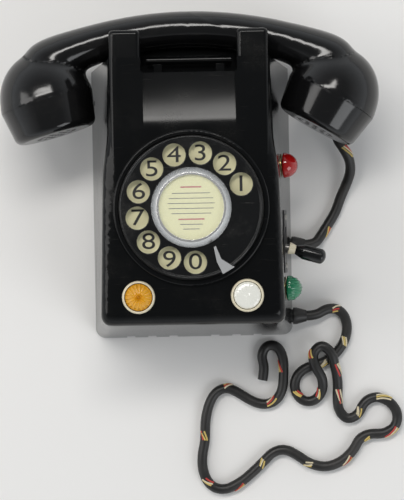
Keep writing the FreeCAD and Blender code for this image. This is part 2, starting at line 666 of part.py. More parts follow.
plate_start = off_wall(LEVER_Y, "sizes.lever_z", "2 * sizes.jewel_gap")
plate_start["x"] += f" - sizes.escutcheon_width / 2 * sin({DRAFT})"
plate_start["y"] = f"{LEVER_Y} - sizes.escutcheon_height / 2 - 1"
plate_start["z"] += f" + sizes.escutcheon_width / 2 * cos({DRAFT})"
escutcheon = box("escutcheon_blank", "sizes.escutcheon_width", "sizes.escutcheon_height", "sizes.escutcheon_thick",
                 **plate_start)
plate_slot = box("escutcheon_slot", "12", "sizes.slot_height", "sizes.slot_width", x=f"{wall_x(LEVER_Y, 'sizes.lever_z')} - 5",
                 y=f"{LEVER_Y} - sizes.slot_height / 2", z="sizes.lever_z - sizes.slot_width / 2")
node(cut("escutcheon", escutcheon, plate_slot), "key_escutcheon")
pins = []
for number, y in enumerate((f"{LEVER_Y} + sizes.escutcheon_height / 2 - 5", f"{LEVER_Y} - sizes.escutcheon_height / 2 + 3")):
    spot = off_wall(LEVER_Y, "sizes.lever_z", "2 * sizes.jewel_gap + sizes.escutcheon_thick")
    spot["y"] = y
    pins.append(dome(f"escutcheon_screw_{number}", "2", "0.9", **spot))
node(group("escutcheon_screws", *pins), "escutcheon_screws")

# Hook switch: the bar under the handset's grip is pressed down into the case.
bar = cylinder("hook_bar_rod", "sizes.bar_radius", "2 * sizes.bar_half", x="-sizes.bar_half", y="sizes.bar_y",
               z="sizes.bar_z", turn_axis=ALONG_Y, turn="90")
node(bar, "hook_bar")
arms = [box(f"hook_arm_{i}", "sizes.arm_width", "sizes.bar_y - sizes.bar_radius - sizes.arm_low + 0.4", "sizes.arm_thick",
            x=f"{sx} * sizes.arm_x - sizes.arm_width / 2", y="sizes.arm_low", z="sizes.bar_z - sizes.arm_thick / 2")
        for i, sx in enumerate((-1, 1))]
cross = box("hook_cross", "2 * sizes.arm_x + sizes.arm_width", "4", "sizes.arm_thick",
            x="-sizes.arm_x - sizes.arm_width / 2", y="sizes.arm_low", z="sizes.bar_z - sizes.arm_thick / 2")
yoke = fuse("hook_yoke_whole", *arms, cross)
node(cut("hook_yoke", yoke, bar), "hook_yoke")
guide_block = box("hook_guide_block", "2 * sizes.arm_x + sizes.arm_width + 8", "8", "10",
                  x="-sizes.arm_x - sizes.arm_width / 2 - 4", y="sizes.trough_floor - sizes.case_wall - 8.0",
                  z="sizes.bar_z - 5")
guide_slots = [box(f"hook_guide_slot_{i}", "sizes.arm_width + 2 * sizes.fit_gap", "12", "sizes.arm_thick + 2 * sizes.fit_gap",
                   x=f"{sx} * sizes.arm_x - sizes.arm_width / 2 - sizes.fit_gap",
                   y="sizes.trough_floor - sizes.case_wall - 10",
                   z="sizes.bar_z - sizes.arm_thick / 2 - sizes.fit_gap") for i, sx in enumerate((-1, 1))]
node(cut("hook_guide", guide_block, *guide_slots), "hook_guide")
hook_leaves = [box(f"hook_leaf_{i}", "24", "0.5", "5", x="-12", y=f"sizes.trough_floor - sizes.case_wall - 8.5 - {2 * i}",
                   z="sizes.bar_z + 1.6") for i in range(3)]
hook_block = box("hook_leaf_block", "6", "4.6", "5", x="-3", y="sizes.trough_floor - sizes.case_wall - 12.6", z="sizes.bar_z + 1.6")
node(fuse("hook_contacts", *hook_leaves, hook_block), "hook_contacts")

# Ringer: two gongs, a pair of coils and a clapper that swings between the gongs.
for name, sign in (("left", "-"), ("right", "")):
    spot = {"x": f"{sign}sizes.gong_x", "y": "sizes.gong_y"}
    node(turned(f"gong_{name}_form", [
        ("sizes.post_radius + 0.05", "sizes.gong_height"), ("sizes.gong_radius * 0.6", "sizes.gong_height"),
        ("sizes.gong_radius", "sizes.gong_height * 0.3"), ("sizes.gong_radius", "0"),
        ("sizes.gong_radius - sizes.gong_wall", "0"), ("sizes.gong_radius - sizes.gong_wall", "sizes.gong_height * 0.25"),
        ("sizes.gong_radius * 0.57", "sizes.gong_height - sizes.gong_wall"),
        ("sizes.post_radius + 0.05", "sizes.gong_height - sizes.gong_wall")], z="sizes.gong_base", **spot), f"gong_{name}")
    post = cylinder(f"post_{name}", "sizes.post_radius", f"sizes.gong_base + sizes.gong_height - ({PLATE_TOP}) + 2",
                    z=PLATE_TOP, **spot)
    shoulder = cylinder(f"post_shoulder_{name}", "sizes.post_radius + 2", f"sizes.gong_base + sizes.gong_height - sizes.gong_wall - ({PLATE_TOP})",
                        z=PLATE_TOP, **spot)
    node(fuse(f"gong_post_{name}", post, shoulder), f"gong_post_{name}")
node(box("ringer_frame_plate", "48", "44", "2", x="-24", y="-38", z=PLATE_TOP), "ringer_frame")
COIL_Z = f"{PLATE_TOP} + 2 + sizes.coil_radius"
for name, sign in (("left", "-"), ("right", "")):
    node(cylinder(f"coil_{name}_form", "sizes.coil_radius", "sizes.coil_length", x=f"{sign}12", y="-5.5", z=COIL_Z,
                  turn_axis=ALONG_X, turn="90"), f"ringer_coil_{name}")
node(cylinder("clapper_post_rod", "2", f"26 - ({PLATE_TOP})", x="0", y="4", z=f"{PLATE_TOP} + 2"), "clapper_post")
clapper_hub = cylinder("clapper_hub", "4", "16", y="4", z="12")
armature = box("armature", "34", "4.8", "6", x="-17", y="-3.4", z="12")
rod = cylinder("clapper_rod", "1", "sizes.gong_y - 7", y="sizes.gong_y", z="25", turn_axis=ALONG_X, turn="90")
ball = doc.addObject("Part::Sphere", "clapper_ball")
ball.Radius = 2.0
put(ball, y="sizes.gong_y", z="25")
clapper_bore = cylinder("clapper_bore", "2.05", "20", y="4", z="10")
node(cut("clapper", fuse("clapper_whole", clapper_hub, armature, rod, ball), clapper_bore), "clapper")
node(box("capacitor_can", "18", "34", "16", x="-49", y="-58", z=PLATE_TOP), "capacitor")
node(box("induction_coil_form", "16", "30", "18", x="28", y="-57", z=PLATE_TOP), "induction_coil")
node(box("terminal_block_form", "40", "10", "8", x="-20", y="-58", z=PLATE_TOP), "terminal_block")
node(group("terminal_screws", *[cylinder(f"terminal_screw_{i}", "2.2", "1.4", x=f"{-16 + 8 * i}", y="-53",
                                         z=f"{PLATE_TOP} + 8") for i in range(5)]), "terminal_screws")


# Handset: an arched grip between two cups, each closed by a screwed cap.
def cup_frame(side):
    """A cup's place and the way its cap faces: side -1 is the ear end, 1 the mouth end."""
    tilt = math.radians(size("ear_tilt" if side < 0 else "mouth_tilt"))
    seam_y = size("ear_seam_y" if side < 0 else "mouth_seam_y")
    seam_x = size("ear_seam_x" if side < 0 else "mouth_seam_x")
    return V(side * seam_x, seam_y, size("handset_z")), V(-side * math.sin(tilt), -math.cos(tilt), 0)


def grip_section(x):
    """One oval section across the grip, square to its arch."""
    bend = size("grip_bend")
    spread = min(abs(x) / 78.0, 1.0) ** 3
    past = max(abs(x) - 78.0, 0.0)
    half_high = size("grip_half_high") * (1 + 0.3 * spread) - 0.2 * past
    half_deep = size("grip_half_deep") * (1 + 0.35 * spread) - 0.2 * past
    drop = x * x / (2 * bend) + 2 * spread + 0.2 * past
    centre = V(x, size("grip_high") - size("grip_half_high") - drop, size("handset_z"))
    oval = Part.Ellipse(V(), max(half_high, half_deep), min(half_high, half_deep)).toShape()
    wire = Part.Wire([oval])
    wire.rotate(V(), ALONG_Y, 90)
    wire.rotate(V(), UP, -math.degrees(math.atan(x / bend)))
    wire.translate(centre)
    return wire


def make_handset():
    sections = [grip_section(x) for x in (-91, -78, -62, -42, -21, 0, 21, 42, 62, 78, 91)]
    body = Part.makeLoft(sections, True, False)
    radius = size("cap_radius")
    for side in (-1, 1):
        centre, facing = cup_frame(side)
        cup = Part.makeSphere(radius)
        stretch = FreeCAD.Matrix()
        stretch.scale(V(1, 1, size("dome_height") / radius))
        cup = cup.transformGeometry(stretch)
        cup = cup.common(Part.makeBox(4 * radius, 4 * radius, 2 * radius, V(-2 * radius, -2 * radius, 0)))
        turn = FreeCAD.Rotation(UP, facing.negative())
        cup.Placement = FreeCAD.Placement(centre, turn).multiply(cup.Placement)
        body = body.fuse(cup)
    boss_x, boss_top, boss_low, boss_z = cord_boss()
    boss = Part.makeCylinder(size("gland_radius"), boss_top - boss_low, V(boss_x, boss_low, boss_z), ALONG_Y)
    block = Part.makeBox(8, boss_top - boss_low, 12, V(boss_x - 4, boss_low, boss_z))
    body = body.fuse([boss, block])
    for side in (-1, 1):
        centre, facing = cup_frame(side)
        below = Part.makeCylinder(2 * radius, 60, centre, facing)
        if side > 0:
            keep = Part.makeBox(20, boss_top - boss_low, 20, V(boss_x - 10, boss_low, boss_z - 12))
            below = below.cut(keep)
        bore = Part.makeCylinder(size("cup_bore"), size("cup_bore_depth") + 1, centre + facing, facing.negative())
        body = body.cut([below, bore])
    return body


def cord_boss():
    """Where the handset cord comes out, under the mouth cup: X, its two ends in Y, and Z."""
    return 86.0, 58.0, 42.0, 17.5


def make_cap(side):
    """A screwed cap: a tapered cup with a ring of sound holes."""
    radius = size("cap_radius")
    face = radius - size("cap_taper")
    wall = size("cap_wall")
    thick = size("cap_thick")
    centre, facing = cup_frame(side)
    shell = Part.makeCone(radius, face, thick)
    rim = [e for e in shell.Edges if middle(e).z > thick - 0.5 and abs(e.Length) > 10]
    shell = shell.makeFillet(4.5, rim[:1])
    hollow = Part.makeCone(radius - wall, face - wall, thick - wall - 1.5)
    cap = shell.cut(hollow)
    holes = [Part.makeCylinder(size("sound_hole_radius"), 10, V(0, 0, thick - 8))]
    for ring, count in ((5.5, 6), (10.5, 12)):
        for i in range(count):
            turn = math.tau * i / count
            holes.append(Part.makeCylinder(size("sound_hole_radius"), 10,
                                           V(ring * math.cos(turn), ring * math.sin(turn), thick - 8)))
    cap = cap.cut(holes)
    cap.Placement = FreeCAD.Placement(centre + facing * 0.05, FreeCAD.Rotation(UP, facing))
    return cap


def make_capsule(side):
    centre, facing = cup_frame(side)
    start = centre - facing * (size("cup_bore_depth") - 0.1)
    return Part.makeCylinder(size("capsule_radius"), size("capsule_thick"), start, facing)


node(solid("handset_form", make_handset()), "handset_body")
node(solid("earpiece_form", make_cap(-1)), "earpiece_cap")
node(solid("mouthpiece_form", make_cap(1)), "mouthpiece_cap")
node(solid("receiver_form", make_capsule(-1)), "receiver_unit")
node(solid("transmitter_form", make_capsule(1)), "transmitter_unit")
boss_x, boss_top, boss_low, boss_z = cord_boss()
bush = Part.makeCone(size("bush_radius"), size("cord_radius") + 0.4, size("bush_length"), V(boss_x, boss_low, boss_z), V(0, -1, 0))
node(solid("handset_bush_form", bush), "handset_bush")

# Cords: each leaves a gland on the right wall, just above the surface the object lies on.
GLAND_OUT = "sizes.gland_off_wall"
GLAND_FORM = [("0", "-3"), ("sizes.gland_radius - 1.1", "-3"), ("sizes.gland_radius - 1.1", "0"),
              ("sizes.gland_radius", "0"), ("sizes.gland_radius", "2"),
              ("sizes.cord_radius + 0.4", "sizes.gland_length"), ("0", "sizes.gland_length")]
for name, y in (("handset_cord_gland", "-sizes.handset_gland_y"), ("line_cord_gland", "-sizes.line_gland_y")):
    start = {"x": f"{wall_x(y, 'sizes.gland_z')} + {GLAND_OUT}", "y": y, "z": "sizes.gland_z", "turn_axis": ALONG_Y, "turn": "90"}
    node(turned(name + "_form", GLAND_FORM, **start), name)


def gland_end(y):
    return V(side_wall_x(y, size("gland_z")) + size("gland_off_wall") + size("gland_length"), y, size("gland_z"))


def cord_tube(name, points, radius):
    """A round cord along straight runs joined by tangent arcs, as large as the runs allow."""
    edges = []
    radii = []
    last = points[0]
    for before, here, after in zip(points, points[1:], points[2:]):
        run_in = here - before
        run_out = after - here
        shorter = min(run_in.Length, run_out.Length)
        turn = run_in.getAngle(run_out)
        reach = 0.45 * shorter
        radii.append(reach / math.tan(turn / 2))
        start = here - run_in.normalize() * reach
        end = here + run_out.normalize() * reach
        bisector = (start + end) * 0.5 - here
        centre = here + bisector.normalize() * (radii[-1] / math.cos(turn / 2))
        top = centre + (here - centre).normalize() * radii[-1]
        edges.append(Part.LineSegment(last, start).toShape())
        edges.append(Part.Arc(start, top, end).toShape())
        last = end
    edges.append(Part.LineSegment(last, points[-1]).toShape())
    path = Part.Wire(edges)
    ring = Part.Wire([Part.Circle(points[0], points[1] - points[0], radius).toShape()])
    tube = path.makePipeShell([ring], True, False)
    expected = math.pi * radius ** 2 * path.Length
    print(f"{name}: length {path.Length:.1f} mm, volume {tube.Volume / expected:.3f} of section times length,"
          f" least radius {min(radii):.1f} mm; radii", " ".join(f"{r:.0f}" for r in radii))
    return tube


FLOOR = size("cord_radius") + 0.1
ROUTE_UP = size("gland_z")
handset_route = [V(boss_x, boss_low - size("bush_length"), boss_z), V(boss_x, 22.0, boss_z), V(90.5, 15.5, 16.8),
                 V(94.3, 9.0, 13.8), V(95.0, 1.5, 9.2), V(92.0, -6.5, 5.0), V(88.6, -14.0, 3.4),
                 V(86.0, -21.5, FLOOR), V(81.8, -28.4, FLOOR), V(77.3, -35.0, 3.6), V(73.0, -41.0, ROUTE_UP),
                 gland_end(-size("handset_gland_y"))]
node(solid("handset_cord_form", cord_tube("handset cord", handset_route, size("cord_radius"))), "handset_cord")

LINE_ROUTE = [
    (72.8, -83.4, 6.0), (79.2, -79.6, 4.2), (85.8, -79.4), (90.6, -84.4), (91.8, -92.0), (89.5, -100.3),
    (83.3, -108.0), (74.9, -112.6), (66.4, -114.3), (60.4, -119.5), (59.0, -127.3), (63.1, -134.3), (70.2, -135.3),
    (75.7, -130.0, 4.0), (76.4, -121.6, 8.2), (71.6, -113.8, 10.2), (69.8, -106.2, 9.8), (75.2, -100.4, 9.6),
    (81.6, -105.0, 10.2), (83.8, -115.2, 7.2), (85.4, -123.6, 3.6), (84.9, -132.0), (85.2, -140.2), (90.2, -146.4),
    (97.2, -143.6), (100.6, -135.9), (107.4, -132.4), (115.8, -135.3), (121.0, -142.3), (120.0, -150.6),
    (112.4, -155.3), (104.0, -154.7), (97.4, -157.6), (94.2, -164.5), (86.9, -171.3), (77.3, -174.7), (67.7, -172.4),
    (60.6, -167.2), (53.5, -163.2), (46.3, -164.2), (40.2, -170.1), (33.5, -176.6), (25.6, -183.0), (15.9, -187.3),
    (7.6, -184.4), (3.5, -176.0), (3.1, -166.4), (5.4, -156.8), (5.3, -147.2), (7.3, -136.5), (11.7, -128.2),
    (18.9, -125.3), (26.6, -129.4), (33.7, -134.2), (41.4, -136.6), (48.5, -134.0), (52.3, -127.3), (53.0, -117.7),
    (53.2, -108.4), (49.6, -101.2), (43.0, -100.6), (39.6, -107.0), (41.8, -114.4), (40.2, -121.6)]
line_route = [gland_end(-size("line_gland_y"))] + [V(p[0], p[1], p[2] if len(p) > 2 else FLOOR) for p in LINE_ROUTE]
node(solid("line_cord_form", cord_tube("line cord", line_route, size("cord_radius"))), "line_cord")

doc.recompute()
os.makedirs("parts", exist_ok=True)
for obj in doc.Objects:
    if "Invalid" in obj.State or "Error" in obj.State:
        raise RuntimeError(f"{obj.Label} did not compute: {obj.State}")
for obj in NODES:
    shape = obj.Shape
    if shape.isNull() or not shape.isValid() or not shape.Solids or shape.Volume <= 0:
        raise RuntimeError(f"{obj.Label} has no sound solid")
    shape.exportStep(f"parts/{obj.Label}.step")
print(f"{len(NODES)} nodes exported")
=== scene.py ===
import json
import math
import random
import bpy
from mathutils import Matrix, Vector

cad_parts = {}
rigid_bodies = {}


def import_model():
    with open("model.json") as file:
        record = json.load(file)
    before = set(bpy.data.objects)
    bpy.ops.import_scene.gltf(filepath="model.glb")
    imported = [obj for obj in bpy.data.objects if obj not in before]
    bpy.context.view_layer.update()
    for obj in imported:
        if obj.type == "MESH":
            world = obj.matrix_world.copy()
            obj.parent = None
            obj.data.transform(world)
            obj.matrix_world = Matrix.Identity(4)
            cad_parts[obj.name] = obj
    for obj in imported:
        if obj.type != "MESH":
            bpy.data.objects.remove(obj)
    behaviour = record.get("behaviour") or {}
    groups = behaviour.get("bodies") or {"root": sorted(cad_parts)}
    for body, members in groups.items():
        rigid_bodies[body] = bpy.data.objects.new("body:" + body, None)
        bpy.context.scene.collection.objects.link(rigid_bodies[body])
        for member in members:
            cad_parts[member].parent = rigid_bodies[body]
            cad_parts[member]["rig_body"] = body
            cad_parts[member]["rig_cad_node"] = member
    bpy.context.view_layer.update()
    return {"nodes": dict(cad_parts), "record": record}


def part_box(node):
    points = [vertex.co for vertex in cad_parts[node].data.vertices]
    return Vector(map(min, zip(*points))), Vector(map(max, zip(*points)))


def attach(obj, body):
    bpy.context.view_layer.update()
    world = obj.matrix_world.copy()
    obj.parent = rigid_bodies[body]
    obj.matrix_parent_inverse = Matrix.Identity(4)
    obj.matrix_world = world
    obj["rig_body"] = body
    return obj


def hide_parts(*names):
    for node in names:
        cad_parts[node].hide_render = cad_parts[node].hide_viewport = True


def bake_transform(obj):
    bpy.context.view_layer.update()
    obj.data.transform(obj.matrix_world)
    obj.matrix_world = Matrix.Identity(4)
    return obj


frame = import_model()
nodes = frame["nodes"]
bodyOf = {name: body for body, names in frame["record"]["behaviour"]["bodies"].items() for name in names}
random.seed(7)
print("frame loaded:", len(nodes), "nodes")

copyWork = {"merge": 0.000005, "flatAngle": 0.6, "smoothAngle": 40.0, "segments": 2, "flatWeight": 90}


def deselect():
    if bpy.context.object and bpy.context.object.mode != "OBJECT":
        bpy.ops.object.mode_set(mode="OBJECT")
    bpy.ops.object.select_all(action="DESELECT")


def pick(piece):
    deselect()
    bpy.context.view_layer.objects.active = piece
    piece.select_set(True)


def joinAll(pieces, name):
    deselect()
    for piece in pieces:
        piece.select_set(True)
    bpy.context.view_layer.objects.active = pieces[0]
    bpy.ops.object.join()
    joined = bpy.context.object
    joined.name = name
    return joined


def settle(piece, name):
    # the place goes into the mesh, so the object stays at the origin
    pick(piece)
    bpy.ops.object.transform_apply(location=True, rotation=True, scale=True)
    piece.name = name
    piece.data.name = name
    return piece


def useModifier(piece, kind, **values):
    pick(piece)
    modifier = piece.modifiers.new(kind.lower(), kind)
    for key, value in values.items():
        setattr(modifier, key, value)
    bpy.ops.object.modifier_apply(modifier=modifier.name)


def smoothShade(piece, degrees):
    pick(piece)
    bpy.ops.object.shade_smooth_by_angle(angle=math.radians(degrees))


def evenNormals(piece):
    # flat faces shade flat right up to their eased edges
    useModifier(piece, "WEIGHTED_NORMAL", mode="FACE_AREA", weight=copyWork["flatWeight"], keep_sharp=True)


def paint(piece, material):
    piece.data.materials.clear()
    piece.data.materials.append(material)


def ease(value, start, end):
    share = min(max((value - start) / (end - start), 0.0), 1.0)
    return share * share * (3 - 2 * share)


def softCopy(nodeName, material, edge=0.0):
    # a merged copy of a model node with its edges eased and its curves shaded smooth
    pick(nodes[nodeName])
    bpy.ops.object.duplicate()
    piece = bpy.context.object
    piece.parent = None
    piece.matrix_world = Matrix.Identity(4)
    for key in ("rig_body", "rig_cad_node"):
        if key in piece:
            del piece[key]
    piece.name = nodeName + "_finished"
    piece.data.name = piece.name
    bpy.ops.object.mode_set(mode="EDIT")
    bpy.ops.mesh.select_all(action="SELECT")
    bpy.ops.mesh.remove_doubles(threshold=copyWork["merge"])
    bpy.ops.mesh.dissolve_limited(angle_limit=math.radians(copyWork["flatAngle"]))
    bpy.ops.object.mode_set(mode="OBJECT")
    if edge > 0:
        useModifier(piece, "BEVEL", width=edge, segments=copyWork["segments"], limit_method="ANGLE",
                    angle_limit=math.radians(copyWork["smoothAngle"]), use_clamp_overlap=True,
                    harden_normals=False)
    smoothShade(piece, copyWork["smoothAngle"])
    if edge > 0:
        evenNormals(piece)
    paint(piece, material)
    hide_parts(nodeName)
    return piece


# shared shader groups
def newGroup(name, inputs, outputs):
    group = bpy.data.node_groups.new(name, "ShaderNodeTree")
    for label, kind, value in inputs:
        socket = group.interface.new_socket(name=label, in_out="INPUT", socket_type=kind)
        if value is not None:
            socket.default_value = value
    for label, kind in outputs:
        group.interface.new_socket(name=label, in_out="OUTPUT", socket_type=kind)
    return group, group.nodes.new("NodeGroupInput"), group.nodes.new("NodeGroupOutput")


def addNode(tree, kind, **settings):
    made = tree.nodes.new(kind)
    for key, value in settings.items():
        if key.startswith("in_"):
            made.inputs[key[3:].replace("_", " ")].default_value = value
        else:
            setattr(made, key, value)
    return made


def feed(tree, socket, value):
    # another node's output is linked, and a plain value is set
    if hasattr(value, "is_linked"):
        tree.links.new(value, socket)
    else:
        socket.default_value = value


def mixColour(tree, factor, low, high):
    mix = tree.nodes.new("ShaderNodeMix")
    mix.data_type = "RGBA"
    for socket, value in ((mix.inputs[0], factor), (mix.inputs[6], low), (mix.inputs[7], high)):
        feed(tree, socket, value)
    return mix.outputs[2]


def mathNode(tree, operation, first, second=0.0, clamp=False):
    made = tree.nodes.new("ShaderNodeMath")
    made.operation = operation
    made.use_clamp = clamp
    for socket, value in zip(made.inputs, (first, second)):
        feed(tree, socket, value)
    return made.outputs[0]


def ramp(tree, value, low, high):
    made = addNode(tree, "ShaderNodeMapRange", clamp=True)
    tree.links.new(value, made.inputs["Value"])
    made.inputs["From Min"].default_value = low
    made.inputs["From Max"].default_value = high
    return made.outputs["Result"]


wearLook = {
    "patchScale": 38.0, "fineScale": 900.0, "lineScale": (55, 700, 260), "lineTurn": (0.2, 0.1, 0.55),
    "wornFrom": 0.52, "wornTo": 0.74, "speckFrom": 0.5, "speckTo": 0.78, "lineFrom": 0.62, "lineTo": 0.72,
    "wornShare": 0.5, "patchDulls": 0.25, "fineHeight": 0.1, "lineDepth": 0.6,
}


def buildHandling():
    # fine scratches, dull patches and a little dust on a handled surface
    inputs = [
        ("Vector", "NodeSocketVector", None), ("Clean", "NodeSocketColor", (0.02, 0.02, 0.02, 1)),
        ("Worn", "NodeSocketColor", (0.2, 0.2, 0.2, 1)), ("Wear", "NodeSocketFloat", 0.3),
        ("Scratches", "NodeSocketFloat", 0.3), ("Gloss", "NodeSocketFloat", 0.15),
        ("Dull", "NodeSocketFloat", 0.45),
    ]
    outputs = [("Color", "NodeSocketColor"), ("Roughness", "NodeSocketFloat"), ("Height", "NodeSocketFloat")]
    group, source, sink = newGroup("handledSurface", inputs, outputs)
    patch = addNode(group, "ShaderNodeTexNoise", in_Scale=wearLook["patchScale"], in_Detail=8.0,
                    in_Roughness=0.62)
    fine = addNode(group, "ShaderNodeTexNoise", in_Scale=wearLook["fineScale"], in_Detail=3.0)
    stretch = addNode(group, "ShaderNodeMapping", in_Scale=wearLook["lineScale"],
                      in_Rotation=wearLook["lineTurn"])
    lines = addNode(group, "ShaderNodeTexNoise", in_Scale=1.0, in_Detail=5.0, in_Roughness=0.7)
    for target in (patch, fine, stretch):
        group.links.new(source.outputs["Vector"], target.inputs["Vector"])
    group.links.new(stretch.outputs["Vector"], lines.inputs["Vector"])

    worn = ramp(group, patch.outputs["Fac"], wearLook["wornFrom"], wearLook["wornTo"])
    speck = ramp(group, fine.outputs["Fac"], wearLook["speckFrom"], wearLook["speckTo"])
    line = ramp(group, lines.outputs["Fac"], wearLook["lineFrom"], wearLook["lineTo"])
    scratch = mathNode(group, "MULTIPLY", line, source.outputs["Scratches"])
    wornPart = mathNode(group, "MULTIPLY", worn, wearLook["wornShare"])
    speckPart = mathNode(group, "MULTIPLY", speck, worn)
    mask = mathNode(group, "MULTIPLY", mathNode(group, "ADD", wornPart, speckPart), source.outputs["Wear"])
    total = mathNode(group, "ADD", mask, scratch, clamp=True)
    colour = mixColour(group, total, source.outputs["Clean"], source.outputs["Worn"])
    group.links.new(colour, sink.inputs["Color"])

    span = mathNode(group, "SUBTRACT", source.outputs["Dull"], source.outputs["Gloss"])
    patchPart = mathNode(group, "MULTIPLY", patch.outputs["Fac"], wearLook["patchDulls"])
    dulled = mathNode(group, "MULTIPLY", span, mathNode(group, "ADD", total, patchPart, clamp=True))
    group.links.new(mathNode(group, "ADD", source.outputs["Gloss"], dulled), sink.inputs["Roughness"])
    grain = mathNode(group, "MULTIPLY", fine.outputs["Fac"], wearLook["fineHeight"])
    groove = mathNode(group, "MULTIPLY", scratch, wearLook["lineDepth"])
    group.links.new(mathNode(group, "SUBTRACT", grain, groove), sink.inputs["Height"])
    return group


handling = buildHandling()


def newMaterial(name, base, **values):
    material = bpy.data.materials.new(name)
    material.use_nodes = True
    shader = material.node_tree.nodes["Principled BSDF"]
    shader.inputs["Base Color"].default_value = (*base, 1)
    for key, value in values.items():
        shader.inputs[key.replace("_", " ")].default_value = value
    return material


def handled(name, clean, worn, wear, scratches, gloss, dull, bump=0.02, **values):
    material = newMaterial(name, clean, **values)
    tree = material.node_tree
    shader = tree.nodes["Principled BSDF"]
    place = addNode(tree, "ShaderNodeTexCoord")
    surface = tree.nodes.new("ShaderNodeGroup")
    surface.node_tree = handling
    for label, value in (("Clean", (*clean, 1)), ("Worn", (*worn, 1)), ("Wear", wear),
                         ("Scratches", scratches), ("Gloss", gloss), ("Dull", dull)):
        surface.inputs[label].default_value = value
    relief = addNode(tree, "ShaderNodeBump", in_Strength=bump, in_Distance=0.0004)
    tree.links.new(place.outputs["Object"], surface.inputs["Vector"])
    tree.links.new(surface.outputs["Color"], shader.inputs["Base Color"])
    tree.links.new(surface.outputs["Roughness"], shader.inputs["Roughness"])
    tree.links.new(surface.outputs["Height"], relief.inputs["Height"])
    tree.links.new(relief.outputs["Normal"], shader.inputs["Normal"])
    return material


finish = {
    "case": handled("caseBakelite", (0.0032, 0.0035, 0.0038), (0.05, 0.047, 0.042),
                    wear=0.14, scratches=0.16, gloss=0.12, dull=0.32, bump=0.03, Specular_IOR_Level=0.22),
    "handset": handled("handsetBakelite", (0.005, 0.005, 0.0053), (0.055, 0.05, 0.045),
                       wear=0.14, scratches=0.2, gloss=0.11, dull=0.32, bump=0.025),
    "wheel": handled("wheelBakelite", (0.004, 0.0042, 0.0045), (0.13, 0.125, 0.115),
                     wear=0.26, scratches=0.26, gloss=0.14, dull=0.42, bump=0.05),
    "back": handled("backSteel", (0.045, 0.045, 0.047), (0.16, 0.14, 0.12),
                    wear=0.5, scratches=0.4, gloss=0.35, dull=0.6, Metallic=0.6),
    "steel": handled("screwSteel", (0.3, 0.29, 0.27), (0.12, 0.1, 0.08),
                     wear=0.5, scratches=0.3, gloss=0.28, dull=0.55, Metallic=1.0),
    "bright": handled("brightMetal", (0.86, 0.86, 0.85), (0.5, 0.48, 0.45),
                      wear=0.2, scratches=0.2, gloss=0.24, dull=0.45, Metallic=1.0),
    "chrome": handled("stopChrome", (0.9, 0.9, 0.9), (0.6, 0.58, 0.55),
                      wear=0.15, scratches=0.15, gloss=0.13, dull=0.35, Metallic=0.72),
    "brass": handled("agedBrass", (0.55, 0.4, 0.17), (0.2, 0.13, 0.06),
                     wear=0.5, scratches=0.2, gloss=0.25, dull=0.5, Metallic=1.0),
    "enamel": handled("numberEnamel", (0.72, 0.68, 0.43), (0.36, 0.29, 0.15),
                      wear=0.35, scratches=0.2, gloss=0.22, dull=0.5),
    "ring": handled("lampRingCream", (0.74, 0.67, 0.5), (0.34, 0.25, 0.14),
                    wear=0.55, scratches=0.1, gloss=0.3, dull=0.6),
    "card": handled("cardPaper", (0.74, 0.72, 0.4), (0.5, 0.47, 0.22),
                    wear=0.3, scratches=0.05, gloss=0.6, dull=0.8),
    "ink": handled("inkBlack", (0.012, 0.012, 0.012), (0.08, 0.07, 0.06),
                   wear=0.2, scratches=0.2, gloss=0.4, dull=0.6),
    "redInk": handled("inkRed", (0.42, 0.04, 0.03), (0.5, 0.2, 0.14),
                      wear=0.2, scratches=0.1, gloss=0.5, dull=0.7),
    # painted shade: the amber's dark worn colour, spread over most of the lens, stands in for the shade in
    # the grooves between its facets
    "amber": handled("amberGlass", (0.72, 0.35, 0.012), (0.2, 0.06, 0.004),
                     wear=0.85, scratches=0.1, gloss=0.06, dull=0.2, Coat_Weight=0.6),
    "opal": handled("opalGlass", (0.78, 0.78, 0.72), (0.55, 0.53, 0.45),
                    wear=0.2, scratches=0.08, gloss=0.1, dull=0.25, Coat_Weight=0.4),
    "red": handled("redGlass", (0.38, 0.006, 0.006), (0.16, 0.004, 0.004),
                   wear=0.2, scratches=0.08, gloss=0.06, dull=0.2, Coat_Weight=0.5),
    "green": handled("greenGlass", (0.012, 0.2, 0.09), (0.005, 0.06, 0.03),
                     wear=0.3, scratches=0.1, gloss=0.08, dull=0.25, Coat_Weight=0.5),
    "rubber": handled("cordRubber", (0.012, 0.0115, 0.011), (0.05, 0.045, 0.04),
                      wear=0.7, scratches=0.3, gloss=0.38, dull=0.7, bump=0.35),
    "winding": handled("coilWinding", (0.16, 0.05, 0.02), (0.3, 0.12, 0.05),
                       wear=0.3, scratches=0.5, gloss=0.3, dull=0.5),
    "inner": handled("innerBlack", (0.02, 0.02, 0.02), (0.07, 0.065, 0.06),
                     wear=0.4, scratches=0.1, gloss=0.45, dull=0.7),
    "board": handled("innerBrown", (0.14, 0.075, 0.035), (0.26, 0.16, 0.09),
                     wear=0.4, scratches=0.2, gloss=0.4, dull=0.65),
}
windowGlass = newMaterial("windowClear", (0.97, 0.98, 0.95), Roughness=0.05, IOR=1.46, Alpha=0.14)
bulbGlass = newMaterial("bulbGlass", (0.96, 0.95, 0.9), Roughness=0.05, IOR=1.46, Transmission_Weight=1.0)
print("materials made:", len(bpy.data.materials))

